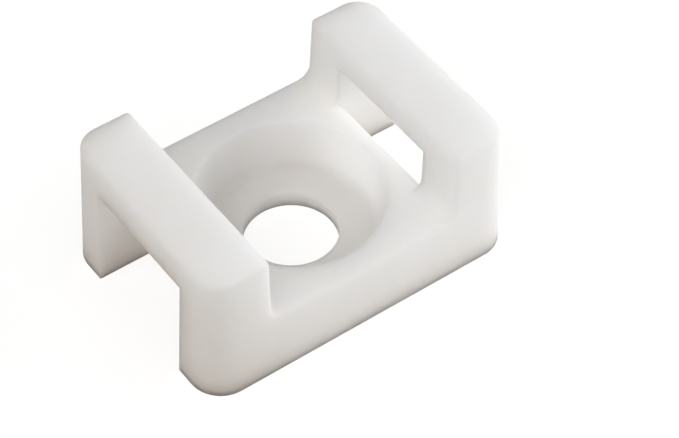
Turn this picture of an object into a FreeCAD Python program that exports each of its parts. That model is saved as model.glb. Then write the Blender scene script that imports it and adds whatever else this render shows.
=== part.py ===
import FreeCAD, Part
import math
import os

# Screw-down cable tie mount, moulded in one piece.
#
# A low rectangular block carries a round cup with a screw hole in its floor.
# At each end of the block stands a wall with two legs and a bar across the
# top. A tie passes under one bar, over the block and under the other bar, and
# the cable bundle lies on the two bars.
#
# Frame: millimetres, origin on the screw's axis in the plane of the underside,
# X along the length, Y across the width, Z up.

# Overall size
LENGTH = 21.7
WIDTH = 15.05
HEIGHT = 9.2
CORNER_RADIUS = 2.05

# End walls: thickness at the saddle, leg width, depth of the pocket between the
# legs, and clear height under the bar at its outer and inner edges
END_WALL = 4.45
LEG_WIDTH = 3.4
POCKET_DEPTH = 4.4
BAR_CLEARANCE_OUTER = 6.95
BAR_CLEARANCE_INNER = 7.5

# Block between the end walls
SADDLE_HEIGHT = 4.45
SADDLE_FILLET = 0.8

# Cup for the screw's head and the hole for its shank
CUP_MOUTH_RADIUS = 5.7
CUP_FLOOR_RADIUS = 5.1
CUP_FLOOR_FILLET = 0.7
CUP_RIM_ROUND = 0.15
FLOOR_THICKNESS = 1.2
SCREW_HOLE_RADIUS = 2.9

# Moulding details: lean of the walls in degrees, and rounded edges
OUTER_DRAFT = 2.5
CHANNEL_DRAFT = 0.5
EDGE_ROUND = 0.3
PORTAL_EDGE_ROUND = 0.1

# Length by which a cutting tool runs past the faces that it opens
OVERRUN = 1.0
# Distance within which a point counts as lying on a plane
TOLERANCE = 1e-4


def vec(x, y, z):
    """A point or direction in the part's frame."""
    return FreeCAD.Vector(x, y, z)


def lean(height, draft):
    """How far a wall with a draft angle in degrees moves sideways over a height."""
    return height * math.tan(math.radians(draft))


def arc(centre_x, centre_y, radius, start, z):
    """A quarter circle in a level plane, from the start angle in degrees."""
    points = []
    for angle in (start, start + 45.0, start + 90.0):
        turn = math.radians(angle)
        points.append(vec(centre_x + radius * math.cos(turn), centre_y + radius * math.sin(turn), z))
    return Part.Arc(*points).toShape()


def is_arc_of(edge, radius):
    """Whether an edge is a circle, or part of one, with the given radius."""
    return isinstance(edge.Curve, Part.Circle) and abs(edge.Curve.Radius - radius) < TOLERANCE


def rounded_rectangle(length, width, radius, z):
    """A closed outline centred on the origin, with four round corners."""
    half_x = length / 2.0 - radius
    half_y = width / 2.0 - radius
    corners = ((half_x, half_y, 0.0), (-half_x, half_y, 90.0), (-half_x, -half_y, 180.0), (half_x, -half_y, 270.0))
    arcs = [arc(x, y, radius, start, z) for x, y, start in corners]
    edges = []
    for here, following in zip(arcs, arcs[1:] + arcs[:1]):
        edges.append(here)
        edges.append(Part.makeLine(here.Vertexes[-1].Point, following.Vertexes[0].Point))
    return Part.Wire(edges)


def outer_body():
    """The outside of the mount: a rounded rectangle that leans in towards the top."""
    inset = lean(HEIGHT, OUTER_DRAFT)
    base = rounded_rectangle(LENGTH, WIDTH, CORNER_RADIUS, 0.0)
    top = rounded_rectangle(LENGTH - 2.0 * inset, WIDTH - 2.0 * inset, CORNER_RADIUS - inset, HEIGHT)
    return Part.makeLoft([base, top], True, True)


def saddle_channel():
    """The space between the end walls, above the block, open at both sides."""
    half = LENGTH / 2.0 - END_WALL
    top = HEIGHT + OVERRUN
    slope = math.radians(CHANNEL_DRAFT)
    # A fillet meets the floor at flat_end and the leaning wall at wall_z.
    flat_end = half - SADDLE_FILLET * math.tan(math.radians(45.0 - CHANNEL_DRAFT / 2.0))
    wall_z = SADDLE_HEIGHT + (half - flat_end) * math.cos(slope)
    wall_x = half + lean(wall_z - SADDLE_HEIGHT, CHANNEL_DRAFT)
    top_x = half + lean(top - SADDLE_HEIGHT, CHANNEL_DRAFT)
    centre_z = SADDLE_HEIGHT + SADDLE_FILLET
    middle = math.radians(-45.0 - CHANNEL_DRAFT / 2.0)
    middle_x = flat_end + SADDLE_FILLET * math.cos(middle)
    middle_z = centre_z + SADDLE_FILLET * math.sin(middle)
    side = -WIDTH / 2.0 - OVERRUN

    def at(x, z):
        return vec(x, side, z)

    floor = Part.makeLine(at(-flat_end, SADDLE_HEIGHT), at(flat_end, SADDLE_HEIGHT))
    right_fillet = Part.Arc(at(flat_end, SADDLE_HEIGHT), at(middle_x, middle_z), at(wall_x, wall_z)).toShape()
    right_wall = Part.makeLine(at(wall_x, wall_z), at(top_x, top))
    lid = Part.makeLine(at(top_x, top), at(-top_x, top))
    left_wall = Part.makeLine(at(-top_x, top), at(-wall_x, wall_z))
    left_fillet = Part.Arc(at(-wall_x, wall_z), at(-middle_x, middle_z), at(-flat_end, SADDLE_HEIGHT)).toShape()
    outline = Part.Wire([floor, right_fillet, right_wall, lid, left_wall, left_fillet])
    return Part.Face(outline).extrude(vec(0.0, WIDTH + 2.0 * OVERRUN, 0.0))


def is_outer_top_edge(edge):
    """Whether an edge bounds the top face of an end wall."""
    return all(abs(vertex.Z - HEIGHT) < TOLERANCE for vertex in edge.Vertexes)


def is_channel_side_edge(edge):
    """Whether an edge is where the channel breaks out through a long side."""
    box = edge.BoundBox
    inset = lean(HEIGHT, OUTER_DRAFT)
    if box.YLength > 2.0 * inset:
        return False
    inside_x = max(abs(box.XMin), abs(box.XMax)) < LENGTH / 2.0 - CORNER_RADIUS
    near_side = min(abs(box.YMin), abs(box.YMax)) > WIDTH / 2.0 - 2.0 * inset - TOLERANCE
    return inside_x and near_side and box.ZMin > SADDLE_HEIGHT - TOLERANCE


def round_outer_edges(body):
    """Rounds the end walls' top edges and the edges of the channel's two mouths."""
    edges = [edge for edge in body.Edges if is_outer_top_edge(edge) or is_channel_side_edge(edge)]
    return body.makeFillet(EDGE_ROUND, edges)


def between_legs(points):
    """A cutting tool as wide as the gap between the legs, from points in the XZ plane."""
    clear_width = WIDTH - 2.0 * LEG_WIDTH
    outline = Part.makePolygon([vec(x, -clear_width / 2.0, z) for x, z in points + points[:1]])
    return Part.Face(outline).extrude(vec(0.0, clear_width, 0.0))


def bar_clearance(x):
    """Height of a bar's underside at a distance along the length from the middle."""
    outer = LENGTH / 2.0
    rise = (BAR_CLEARANCE_INNER - BAR_CLEARANCE_OUTER) / END_WALL
    return BAR_CLEARANCE_OUTER + rise * (outer - x)


def end_pocket(side):
    """The space under one bar, between its legs, open at the end and below."""
    inner = LENGTH / 2.0 - POCKET_DEPTH
    outer = LENGTH / 2.0 + OVERRUN
    return between_legs(
        [
            (side * inner, -OVERRUN),
            (side * outer, -OVERRUN),
            (side * outer, bar_clearance(outer)),
            (side * inner, bar_clearance(inner)),
        ]
    )


def tie_passage():
    """The way for the tie over the block, from one pocket to the other."""
    mouth = LENGTH / 2.0 - END_WALL
    reach = LENGTH / 2.0 - POCKET_DEPTH + OVERRUN
    return between_legs(
        [
            (-reach, SADDLE_HEIGHT),
            (reach, SADDLE_HEIGHT),
            (reach, bar_clearance(reach)),
            (mouth, bar_clearance(mouth)),
            (-mouth, bar_clearance(mouth)),
            (-reach, bar_clearance(reach)),
        ]
    )


def is_portal_mouth_edge(edge):
    """Whether an edge is where an end pocket breaks out through the outer end face."""
    box = edge.BoundBox
    near_end = min(abs(box.XMin), abs(box.XMax)) > LENGTH / 2.0 - lean(HEIGHT, OUTER_DRAFT) - TOLERANCE
    inside_y = max(abs(box.YMin), abs(box.YMax)) < WIDTH / 2.0 - LEG_WIDTH + TOLERANCE
    return near_end and inside_y and box.ZMax < HEIGHT - EDGE_ROUND


def round_portal_edges(body):
    """Rounds the three outer edges of each end pocket a little."""
    edges = [edge for edge in body.Edges if is_portal_mouth_edge(edge)]
    return body.makeFillet(PORTAL_EDGE_ROUND, edges)


def screw_cup():
    """The round cup for the screw's head with the through hole in its floor."""
    profile = Part.makePolygon(
        [
            vec(0.0, 0.0, FLOOR_THICKNESS),
            vec(CUP_FLOOR_RADIUS, 0.0, FLOOR_THICKNESS),
            vec(CUP_MOUTH_RADIUS, 0.0, SADDLE_HEIGHT),
            vec(CUP_MOUTH_RADIUS, 0.0, SADDLE_HEIGHT + OVERRUN),
            vec(0.0, 0.0, SADDLE_HEIGHT + OVERRUN),
            vec(0.0, 0.0, FLOOR_THICKNESS),
        ]
    )
    cup = Part.Face(profile).revolve(vec(0.0, 0.0, 0.0), vec(0.0, 0.0, 1.0), 360.0)
    floor_edges = [edge for edge in cup.Edges if is_arc_of(edge, CUP_FLOOR_RADIUS)]
    cup = cup.makeFillet(CUP_FLOOR_FILLET, floor_edges)
    hole = Part.makeCylinder(SCREW_HOLE_RADIUS, FLOOR_THICKNESS + 2.0 * OVERRUN, vec(0.0, 0.0, -OVERRUN))
    return cup.fuse(hole)


def is_cup_rim(edge):
    """Whether an edge is part of the cup's rim in the saddle's floor."""
    level = all(abs(vertex.Z - SADDLE_HEIGHT) < TOLERANCE for vertex in edge.Vertexes)
    return level and is_arc_of(edge, CUP_MOUTH_RADIUS)


def cable_tie_mount():
    """The whole moulding as one solid."""
    body = outer_body().cut(saddle_channel())
    body = round_outer_edges(body)
    for tool in (tie_passage(), end_pocket(1), end_pocket(-1), screw_cup()):
        body = body.cut(tool)
    body = body.removeSplitter()
    body = round_portal_edges(body)
    rims = [edge for edge in body.Edges if is_cup_rim(edge)]
    body = body.makeFillet(CUP_RIM_ROUND, rims)
    return body.Solids[0]


def main():
    """Writes the moulding's STEP file and prints its size."""
    os.makedirs("parts", exist_ok=True)
    mount = cable_tie_mount()
    mount.exportStep("parts/cable_tie_mount.step")
    box = mount.BoundBox
    print("cable_tie_mount", round(box.XLength, 3), round(box.YLength, 3), round(box.ZLength, 3))
    print("valid", mount.isValid(), "solids", len(mount.Solids), "volume", round(mount.Volume, 2))


main()
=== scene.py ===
"""Studio scene of a screw-down cable tie mount, moulded in natural nylon.

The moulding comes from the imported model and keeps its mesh. This script gives
it the look of satin, slightly translucent nylon, stands it on a pale floor and
lights it with soft lamps, seen from the photograph's angle. Lengths are metres.
"""

import logging
import math
from dataclasses import dataclass, field
from enum import Enum

import bpy
import numpy as np
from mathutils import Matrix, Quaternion, Vector


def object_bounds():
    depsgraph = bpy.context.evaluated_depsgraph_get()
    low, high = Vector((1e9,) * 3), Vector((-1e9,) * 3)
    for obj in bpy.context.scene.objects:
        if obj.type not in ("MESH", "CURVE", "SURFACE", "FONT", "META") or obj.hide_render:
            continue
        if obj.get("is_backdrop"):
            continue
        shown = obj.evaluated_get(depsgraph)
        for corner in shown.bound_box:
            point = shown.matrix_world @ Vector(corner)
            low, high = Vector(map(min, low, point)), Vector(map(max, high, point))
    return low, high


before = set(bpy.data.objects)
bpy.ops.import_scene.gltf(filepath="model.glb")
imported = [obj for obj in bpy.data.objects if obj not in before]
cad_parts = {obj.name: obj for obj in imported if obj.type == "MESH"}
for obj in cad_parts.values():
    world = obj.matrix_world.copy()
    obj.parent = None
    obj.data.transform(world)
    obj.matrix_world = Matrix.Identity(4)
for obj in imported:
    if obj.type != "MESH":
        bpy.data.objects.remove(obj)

LOG = logging.getLogger("cable_tie_mount_scene")

MM = 0.001
PICTURE_WIDTH_PX = 679

# Distance between two shader nodes in the node editor.
NODE_SPACING = 220.0

# Most of a noise's values lie between these two.
NOISE_LOW = 0.3
NOISE_HIGH = 0.7

# Strength at which a shader that gives light is seen in its own colour.
PLAIN_STRENGTH = 1.0

Colour = tuple[float, float, float]
Socket = bpy.types.NodeSocket


class LampShape(Enum):
    """Outlines that a soft lamp can have."""

    RECTANGLE = "RECTANGLE"
    ELLIPSE = "ELLIPSE"


class Axis(Enum):
    """Axes that a value can grow along."""

    ACROSS = "X"
    UP = "Z"


@dataclass(frozen=True)
class NoisePattern:
    """Noise of one size.

    Attributes:
        size: Size of its features.
        detail: Number of finer octaves.
        roughness: Strength of the finer octaves.
    """

    size: float
    detail: float
    roughness: float = 0.5


def bearing(azimuth_deg: float, elevation_deg: float) -> Vector:
    """Gives the unit vector from the mount towards a place around it.

    Azimuth 0 is in front, on the -Y side, and 90 is on the +X side.

    Args:
        azimuth_deg: Turn round the mount, in degrees.
        elevation_deg: Height above the horizon, in degrees.

    Returns:
        The direction as a unit vector.
    """
    azimuth, elevation = math.radians(azimuth_deg), math.radians(elevation_deg)
    level = math.cos(elevation)
    return Vector((math.sin(azimuth) * level, -math.cos(azimuth) * level, math.sin(elevation)))


def opaque(colour: Colour) -> tuple[float, float, float, float]:
    """Adds full opacity to a colour."""
    return (*colour, 1.0)


class NodeSheet:
    """Adds shader nodes to one node tree, from left to right."""

    def __init__(self, tree: bpy.types.NodeTree) -> None:
        """Starts with an empty tree.

        Args:
            tree: The node tree of a material or of the world.
        """
        self.tree = tree
        self.tree.nodes.clear()
        self.column = 0

    def add(self, kind: str, **settings: object) -> bpy.types.Node:
        """Adds a node.

        Args:
            kind: The node's type, as Blender names it.
            **settings: Attributes of the node to set.

        Returns:
            The new node.
        """
        node = self.tree.nodes.new(kind)
        node.location = (self.column * NODE_SPACING, 0.0)
        self.column += 1
        for name, value in settings.items():
            setattr(node, name, value)
        return node

    def link(self, source: Socket, target: Socket) -> None:
        """Links an output to an input."""
        self.tree.links.new(source, target)

    def point(self) -> Socket:
        """Gives a point's object coordinates."""
        return self.add("ShaderNodeTexCoord").outputs["Object"]

    def noise(self, pattern: NoisePattern) -> Socket:
        """Adds noise on object coordinates.

        Args:
            pattern: Size and detail of the noise.

        Returns:
            The noise's value, around one half.
        """
        noise = self.add("ShaderNodeTexNoise", noise_dimensions="3D")
        noise.inputs["Scale"].default_value = 1.0 / pattern.size
        noise.inputs["Detail"].default_value = pattern.detail
        noise.inputs["Roughness"].default_value = pattern.roughness
        self.link(self.point(), noise.inputs["Vector"])
        return noise.outputs["Fac"]

    def remap(self, value: Socket, low: float, high: float) -> Socket:
        """Spreads a noise's middle range over new limits.

        Args:
            value: A noise's output.
            low: Result for the noise's low end.
            high: Result for the noise's high end.

        Returns:
            The remapped value.
        """
        remap = self.add("ShaderNodeMapRange", clamp=True)
        remap.inputs["From Min"].default_value = NOISE_LOW
        remap.inputs["From Max"].default_value = NOISE_HIGH
        remap.inputs["To Min"].default_value = low
        remap.inputs["To Max"].default_value = high
        self.link(value, remap.inputs["Value"])
        return remap.outputs["Result"]

    def along(self, axis: Axis) -> Socket:
        """Measures a point's place along one of the object's axes.

        Args:
            axis: The axis to measure along.

        Returns:
            The coordinate.
        """
        split = self.add("ShaderNodeSeparateXYZ")
        self.link(self.point(), split.inputs["Vector"])
        return split.outputs[axis.value]

    def reach(self) -> Socket:
        """Measures a point's distance from the object's origin.

        Returns:
            The distance.
        """
        length = self.add("ShaderNodeVectorMath", operation="LENGTH")
        self.link(self.point(), length.inputs[0])
        return length.outputs["Value"]

    def fade(self, value: Socket, start: float, end: float, limit: float = 1.0) -> Socket:
        """Turns a growing value into one that rises smoothly from 0 to a limit.

        Args:
            value: The value that grows.
            start: Where the result leaves 0.
            end: Where it reaches the limit.
            limit: The result past the end.

        Returns:
            The result.
        """
        fade = self.add("ShaderNodeMapRange", interpolation_type="SMOOTHSTEP")
        fade.inputs["From Min"].default_value = start
        fade.inputs["From Max"].default_value = end
        fade.inputs["To Max"].default_value = limit
        self.link(value, fade.inputs["Value"])
        return fade.outputs["Result"]

    def mix_colours(self, share: Socket, first: Colour, second: Colour) -> Socket:
        """Mixes two colours.

        Args:
            share: Share of the second colour.
            first: Colour at share 0.
            second: Colour at share 1.

        Returns:
            The mixed colour.
        """
        mix = self.add("ShaderNodeMix", data_type="RGBA")
        mix.inputs["A"].default_value = opaque(first)
        mix.inputs["B"].default_value = opaque(second)
        self.link(share, mix.inputs["Factor"])
        return mix.outputs["Result"]

    def mix_shaders(self, share: Socket, first: Socket, second: Socket) -> Socket:
        """Mixes two shaders.

        Args:
            share: Share of the second shader.
            first: Shader at share 0.
            second: Shader at share 1.

        Returns:
            The mixed shader.
        """
        mix = self.add("ShaderNodeMixShader")
        self.link(share, mix.inputs["Fac"])
        self.link(first, mix.inputs[1])
        self.link(second, mix.inputs[2])
        return mix.outputs["Shader"]

    def looking_rays(self) -> Socket:
        """Finds the rays that look at the studio: from the camera, a mirror or through glass.

        Returns:
            A value that is 1 for such a ray and 0 for the others.
        """
        path = self.add("ShaderNodeLightPath")
        total = path.outputs["Is Camera Ray"]
        for name in ("Is Glossy Ray", "Is Transmission Ray"):
            join = self.add("ShaderNodeMath", operation="MAXIMUM")
            self.link(total, join.inputs[0])
            self.link(path.outputs[name], join.inputs[1])
            total = join.outputs["Value"]
        return total


@dataclass(frozen=True)
class NaturalNylon:
    """Uncoloured nylon: milky, a little translucent, with a satin skin.

    Attributes:
        slot: The record's material slot.
        clear_tint: Colour where the melt is clearer.
        milky_tint: Colour where the melt is milkier.
        clouds: Pattern of clearer and milkier places.
        glow_share: Share of the light that scatters inside.
        glow_depth: Mean distance that red, green and blue light travel inside.
        glow_scale: Length that glow_depth counts in.
        roughness_low: Roughness of the smoothest skin.
        roughness_high: Roughness of the dullest skin.
        skin_patches: Pattern of smoother and duller skin.
        grain: Pattern of the fine erosion grain on the skin.
        grain_height: Height of that grain.
        ripples: Pattern of the shallow ripples that shrinkage leaves.
        ripple_height: Height of those ripples.
        edge_softness: Radius over which light runs round the upper edges.
        edge_samples: Rays that work out each soft edge.
        crisp_height: Height up to which the edges stay crisp, near the seat face.
        soft_height: Height from which they are fully soft.
        refraction: Index of refraction.
    """

    slot: str = "natural_nylon"
    clear_tint: Colour = (0.945, 0.92, 0.89)
    milky_tint: Colour = (0.96, 0.945, 0.93)
    clouds: NoisePattern = NoisePattern(size=4.0 * MM, detail=4.0, roughness=0.55)
    glow_share: float = 1.0
    glow_depth: Colour = (0.8, 0.9, 1.0)
    glow_scale: float = 4.6 * MM
    roughness_low: float = 0.5
    roughness_high: float = 0.62
    skin_patches: NoisePattern = NoisePattern(size=2.5 * MM, detail=3.0)
    grain: NoisePattern = NoisePattern(size=0.12 * MM, detail=3.0)
    grain_height: float = 0.003 * MM
    ripples: NoisePattern = NoisePattern(size=3.0 * MM, detail=2.0)
    ripple_height: float = 0.02 * MM
    edge_softness: float = 0.55 * MM
    edge_samples: int = 8
    crisp_height: float = 0.1 * MM
    soft_height: float = 1.0 * MM
    refraction: float = 1.53

    def material(self) -> bpy.types.Material:
        """Makes the nylon's material.

        Returns:
            A material with procedural colour, roughness and bump.
        """
        material = bpy.data.materials.new(self.slot)
        material.use_nodes = True
        sheet = NodeSheet(material.node_tree)
        shader = sheet.add("ShaderNodeBsdfPrincipled", subsurface_method="RANDOM_WALK")
        shader.inputs["Subsurface Weight"].default_value = self.glow_share
        shader.inputs["Subsurface Radius"].default_value = self.glow_depth
        shader.inputs["Subsurface Scale"].default_value = self.glow_scale
        shader.inputs["IOR"].default_value = self.refraction
        sheet.link(self.tint(sheet), shader.inputs["Base Color"])
        patches = sheet.noise(self.skin_patches)
        roughness = sheet.remap(patches, self.roughness_low, self.roughness_high)
        sheet.link(roughness, shader.inputs["Roughness"])
        sheet.link(self.relief(sheet), shader.inputs["Normal"])
        output = sheet.add("ShaderNodeOutputMaterial")
        sheet.link(shader.outputs["BSDF"], output.inputs["Surface"])
        return material

    def tint(self, sheet: NodeSheet) -> Socket:
        """Mixes the two tints in soft clouds.

        Args:
            sheet: The material's nodes.

        Returns:
            The colour.
        """
        share = sheet.remap(sheet.noise(self.clouds), 0.0, 1.0)
        return sheet.mix_colours(share, self.clear_tint, self.milky_tint)

    def relief(self, sheet: NodeSheet) -> Socket:
        """Makes the fine grain on top of shallow ripples and soft edges.

        Args:
            sheet: The material's nodes.

        Returns:
            The bent normal.
        """
        edges = sheet.add("ShaderNodeBevel", samples=self.edge_samples)
        height = sheet.along(Axis.UP)
        softness = sheet.fade(height, self.crisp_height, self.soft_height, self.edge_softness)
        sheet.link(softness, edges.inputs["Radius"])
        normal = edges.outputs["Normal"]
        for pattern, depth in ((self.ripples, self.ripple_height), (self.grain, self.grain_height)):
            bump = sheet.add("ShaderNodeBump")
            bump.inputs["Distance"].default_value = depth
            sheet.link(sheet.noise(pattern), bump.inputs["Height"])
            sheet.link(normal, bump.inputs["Normal"])
            normal = bump.outputs["Normal"]
        return normal


@dataclass(frozen=True)
class PaleCard:
    """Matt white card for the floor, which the camera sees nearly as pure white.

    It shows the mount's shadow, and is plain white further out. The light that it returns is darker
    and warmer on the left of the mount, as in the photograph, where the mount's lower left parts
    are in shade: that darker, warmer card on the left is painted shade, standing in for the floor's
    shadow there.

    Attributes:
        name: The material's name.
        seen_tint: Colour of the card for the camera and mirrors.
        seen_share: Share of the card's own shading that they see.
        seen_glow: Brightness that is added to that shading.
        painted_shade_left_bounce: Colour of the card, on the left, for the light that it returns.
        right_bounce: The same on the right.
        fade_start: Where the change from left to right starts, along X.
        fade_end: Where it ends.
        shadow_reach: Distance up to which the card shows its own shading.
        white_reach: Distance from which it is plain white.
    """

    name: str = "pale_card"
    seen_tint: Colour = (0.86, 0.85, 0.84)
    seen_share: float = 0.4
    seen_glow: float = 0.75
    # Painted shade: a darker, warmer card colour for the returned light on the left, standing in
    # for the floor's shadow.
    painted_shade_left_bounce: Colour = (0.54, 0.45, 0.36)
    right_bounce: Colour = (0.96, 0.94, 0.91)
    fade_start: float = -12.0 * MM
    fade_end: float = -2.0 * MM
    shadow_reach: float = 35.0 * MM
    white_reach: float = 80.0 * MM

    def material(self) -> bpy.types.Material:
        """Makes the card's material.

        Returns:
            A matt material that looks nearly white to camera, glossy and transmitted rays.
        """
        material = bpy.data.materials.new(self.name)
        material.use_nodes = True
        sheet = NodeSheet(material.node_tree)
        bounce = sheet.add("ShaderNodeBsdfDiffuse")
        sheet.link(self.painted_shade_bounce_tint(sheet), bounce.inputs["Color"])
        seen = self.seen_card(sheet)
        card = sheet.mix_shaders(sheet.looking_rays(), bounce.outputs["BSDF"], seen)
        output = sheet.add("ShaderNodeOutputMaterial")
        sheet.link(card, output.inputs["Surface"])
        return material

    def seen_card(self, sheet: NodeSheet) -> Socket:
        """Makes what is seen: the glowing card near the mount, and plain white further out.

        Args:
            sheet: The material's nodes.

        Returns:
            The shader.
        """
        card = sheet.add("ShaderNodeBsdfDiffuse")
        card.inputs["Color"].default_value = opaque(self.seen_tint)
        # The first shader stays empty, which is black, so that the mix only dims the card.
        shaded = sheet.add("ShaderNodeMixShader")
        shaded.inputs["Fac"].default_value = self.seen_share
        sheet.link(card.outputs["BSDF"], shaded.inputs[2])
        glow = sheet.add("ShaderNodeEmission")
        glow.inputs["Strength"].default_value = self.seen_glow
        near = sheet.add("ShaderNodeAddShader")
        sheet.link(shaded.outputs["Shader"], near.inputs[0])
        sheet.link(glow.outputs["Emission"], near.inputs[1])
        white = sheet.add("ShaderNodeEmission")
        white.inputs["Strength"].default_value = PLAIN_STRENGTH
        share = sheet.fade(sheet.reach(), self.shadow_reach, self.white_reach)
        return sheet.mix_shaders(share, near.outputs["Shader"], white.outputs["Emission"])

    def painted_shade_bounce_tint(self, sheet: NodeSheet) -> Socket:
        """Fades the colour of the returned light from left to right, from the painted shade on the
        left to the plain card on the right.

        Args:
            sheet: The material's nodes.

        Returns:
            The colour.
        """
        # Painted shade on the left, fading out towards the right.
        share = sheet.fade(sheet.along(Axis.ACROSS), self.fade_start, self.fade_end)
        return sheet.mix_colours(share, self.painted_shade_left_bounce, self.right_bounce)


@dataclass
class CableTieMount:
    """The moulding: one piece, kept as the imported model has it.

    Attributes:
        node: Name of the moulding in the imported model.
        finish: What it is made of.
    """

    node: str = "cable_tie_mount"
    finish: NaturalNylon = field(default_factory=NaturalNylon)

    def dress(self) -> bpy.types.Object:
        """Puts the nylon on the moulding.

        Returns:
            The moulding's object.
        """
        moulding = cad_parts[self.node]
        material = self.finish.material()
        for slot in moulding.material_slots:
            slot.material = material
        return moulding


@dataclass
class Floor:
    """A round, level floor under the mount.

    Attributes:
        radius: How far the floor reaches.
        drop: Gap under the mount, so that the two surfaces don't coincide.
        hub_share: Ring share at the edge of the hub, the single face in the middle.
        rings: Number of rings of faces.
        spokes: Number of faces in a ring.
        finish: What it is made of.
    """

    radius: float = 900.0 * MM
    drop: float = 0.02 * MM
    hub_share: float = 0.02
    rings: int = 12
    spokes: int = 96
    finish: PaleCard = field(default_factory=PaleCard)

    def surface(self) -> tuple[np.ndarray, np.ndarray]:
        """Works out the floor as a polar grid.

        A point is at distance radius times the square of the ring's share, and
        at an angle of its spoke's share of a full turn.

        Returns:
            The points, and the corner numbers of each four-sided face.
        """
        share = np.linspace(self.hub_share, 1.0, self.rings + 1) ** 2
        angle = np.linspace(0.0, 2.0 * np.pi, self.spokes, endpoint=False)
        distance, turn = np.meshgrid(self.radius * share, angle, indexing="ij")
        level = np.full_like(distance, -self.drop)
        points = np.stack([distance * np.cos(turn), distance * np.sin(turn), level], axis=-1)
        ring, spoke = np.meshgrid(np.arange(self.rings), np.arange(self.spokes), indexing="ij")
        following = (spoke + 1) % self.spokes
        inner, outer = ring * self.spokes, (ring + 1) * self.spokes
        corners = [inner + spoke, outer + spoke, outer + following, inner + following]
        return points.reshape(-1, 3), np.stack(corners, axis=-1).reshape(-1, 4)

    def build(self) -> bpy.types.Object:
        """Makes the floor's object.

        Returns:
            The floor, marked as no part of the mount.
        """
        points, faces = self.surface()
        hub = list(range(self.spokes))
        mesh = bpy.data.meshes.new("floor")
        mesh.from_pydata(points.tolist(), [], faces.tolist() + [hub])
        mesh.materials.append(self.finish.material())
        floor = bpy.data.objects.new("floor", mesh)
        bpy.context.scene.collection.objects.link(floor)
        floor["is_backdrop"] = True
        return floor


@dataclass(frozen=True)
class Softbox:
    """A large, even lamp that faces the mount and isn't seen itself.

    Attributes:
        name: The lamp's name.
        azimuth_deg: Its turn round the mount.
        elevation_deg: Its height above the horizon.
        width: Its width.
        height: Its height.
        power: Its power in watts.
        shape: Its outline.
        distance: Its distance from the mount.
    """

    name: str
    azimuth_deg: float
    elevation_deg: float
    width: float
    height: float
    power: float
    shape: LampShape = LampShape.RECTANGLE
    distance: float = 200.0 * MM

    def place(self, target: Vector) -> bpy.types.Object:
        """Hangs the lamp, turns it to the mount and hides it from camera and mirrors.

        Args:
            target: The point that the lamp faces.

        Returns:
            The lamp's object.
        """
        light = bpy.data.lights.new(self.name, "AREA")
        light.shape = self.shape.value
        light.size = self.width
        light.size_y = self.height
        light.energy = self.power
        lamp = bpy.data.objects.new(self.name, light)
        away = bearing(self.azimuth_deg, self.elevation_deg)
        lamp.location = target + away * self.distance
        lamp.rotation_euler = away.to_track_quat("Z", "Y").to_euler()
        lamp.visible_camera = False
        # Seen low from behind, a lamp's glare would turn the bar tops white.
        lamp.visible_glossy = False
        bpy.context.scene.collection.objects.link(lamp)
        return lamp


@dataclass
class Studio:
    """The floor, the lamps and the even light of the room.

    Attributes:
        lamps: The soft lamps.
        room_tint: Colour of the room.
        room_light: Strength of the light that the room gives.
        floor: The floor.
    """

    lamps: tuple[Softbox, ...] = (
        Softbox(
            "side_lamp", azimuth_deg=73.0, elevation_deg=17.5,
            width=280.0 * MM, height=124.0 * MM, power=0.35,
        ),
        Softbox(
            "left_lamp", azimuth_deg=-76.0, elevation_deg=45.0,
            width=180.0 * MM, height=180.0 * MM, power=0.205,
        ),
        Softbox(
            "top_lamp", azimuth_deg=-25.0, elevation_deg=75.0,
            width=200.0 * MM, height=200.0 * MM, power=0.138, shape=LampShape.ELLIPSE,
        ),
        Softbox(
            "back_lamp", azimuth_deg=180.0, elevation_deg=17.5,
            width=200.0 * MM, height=124.0 * MM, power=0.03,
        ),
    )
    room_tint: Colour = (0.8, 0.8, 0.8)
    room_light: float = 0.03
    floor: Floor = field(default_factory=Floor)

    def build(self, target: Vector) -> None:
        """Sets up the studio.

        Args:
            target: The point that the lamps face.
        """
        self.floor.build()
        LOG.info("floor of %.0f mm radius", self.floor.radius / MM)
        for softbox in self.lamps:
            softbox.place(target)
            place = (softbox.name, softbox.azimuth_deg, softbox.elevation_deg)
            LOG.info("%s at %.0f, %.0f degrees", *place)
        self.light_room()

    def light_room(self) -> None:
        """Gives the room an even, faint light, while the camera sees it in its own pale colour."""
        world = bpy.data.worlds.new("room")
        world.use_nodes = True
        bpy.context.scene.world = world
        sheet = NodeSheet(world.node_tree)
        faint = self.room(sheet, self.room_light)
        seen = self.room(sheet, PLAIN_STRENGTH)
        output = sheet.add("ShaderNodeOutputWorld")
        sheet.link(sheet.mix_shaders(sheet.looking_rays(), faint, seen), output.inputs["Surface"])

    def room(self, sheet: NodeSheet, strength: float) -> Socket:
        """Makes the room's light at one strength.

        Args:
            sheet: The world's nodes.
            strength: The light's strength.

        Returns:
            The shader.
        """
        room = sheet.add("ShaderNodeBackground")
        room.inputs["Color"].default_value = opaque(self.room_tint)
        room.inputs["Strength"].default_value = strength
        return room.outputs["Background"]


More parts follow.
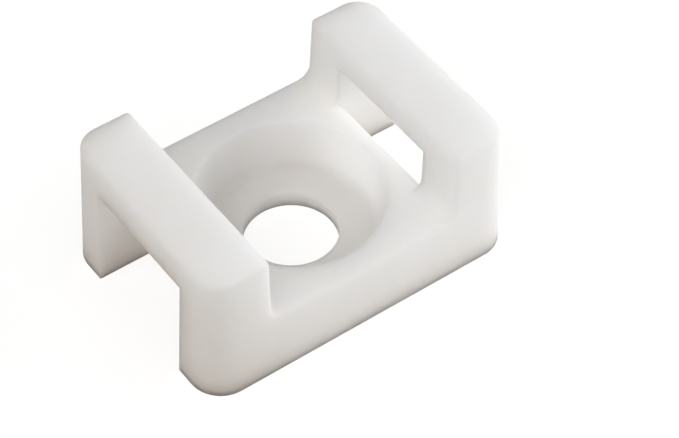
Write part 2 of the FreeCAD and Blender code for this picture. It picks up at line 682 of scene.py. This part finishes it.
@dataclass(frozen=True)
class PhotoCamera:
    """The camera at the photograph's angle, with the mount left of the middle.

    Attributes:
        azimuth_deg: Turn round the mount.
        elevation_deg: Height above the horizon.
        distance: Distance from the mount's middle.
        lens_mm: Focal length on the sensor.
        sensor_mm: Width of the sensor.
        off_centre_px: Where the mount's middle falls, counted in pixels from the
            picture's middle to the right and upwards.
        nearest: Distance from which things are seen.
        furthest: Distance up to which they are seen.
    """

    azimuth_deg: float = -35.386
    elevation_deg: float = 48.0
    distance: float = 150.94 * MM
    lens_mm: float = 136.94
    sensor_mm: float = 36.0
    off_centre_px: tuple[float, float] = (-48.34, 29.1)
    nearest: float = 1.0 * MM
    furthest: float = 5.0

    def place(self, target: Vector) -> bpy.types.Object:
        """Stands the camera up and turns it so that the mount falls off centre.

        Args:
            target: The mount's middle.

        Returns:
            The camera's object.
        """
        camera = bpy.data.cameras.new("photo_camera")
        camera.lens = self.lens_mm
        camera.sensor_width = self.sensor_mm
        camera.clip_start = self.nearest
        camera.clip_end = self.furthest
        seat = bpy.data.objects.new("photo_camera", camera)
        seat.location = target + bearing(self.azimuth_deg, self.elevation_deg) * self.distance
        seat.rotation_mode = "QUATERNION"
        seat.rotation_quaternion = self.turn(target - seat.location)
        bpy.context.scene.collection.objects.link(seat)
        bpy.context.scene.camera = seat
        return seat

    def turn(self, towards: Vector) -> Quaternion:
        """Works out how the camera is turned.

        Args:
            towards: The way from the camera to the mount's middle.

        Returns:
            The turn that puts the mount's middle at its place in the picture.
        """
        straight = towards.to_track_quat("-Z", "Y")
        focal_px = self.lens_mm / self.sensor_mm * PICTURE_WIDTH_PX
        right, up = self.off_centre_px
        middle = straight @ Vector((-right, -up, -focal_px))
        return towards.rotation_difference(middle) @ straight


def middle_of(low: Vector, high: Vector) -> Vector:
    """Gives the middle of a box from its two corners."""
    return (low + high) / 2.0


def main() -> None:
    """Builds the scene."""
    logging.basicConfig(level=logging.INFO, format="%(name)s: %(message)s")
    cad_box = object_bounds()
    target = middle_of(*cad_box)
    bpy.context.scene.view_settings.view_transform = "Standard"
    moulding = CableTieMount().dress()
    LOG.info("%s has %d triangles", moulding.name, len(moulding.data.polygons))
    Studio().build(target)
    camera = PhotoCamera().place(target)
    LOG.info("camera %.0f mm away", (camera.location - target).length / MM)


if __name__ == "__main__":
    main()
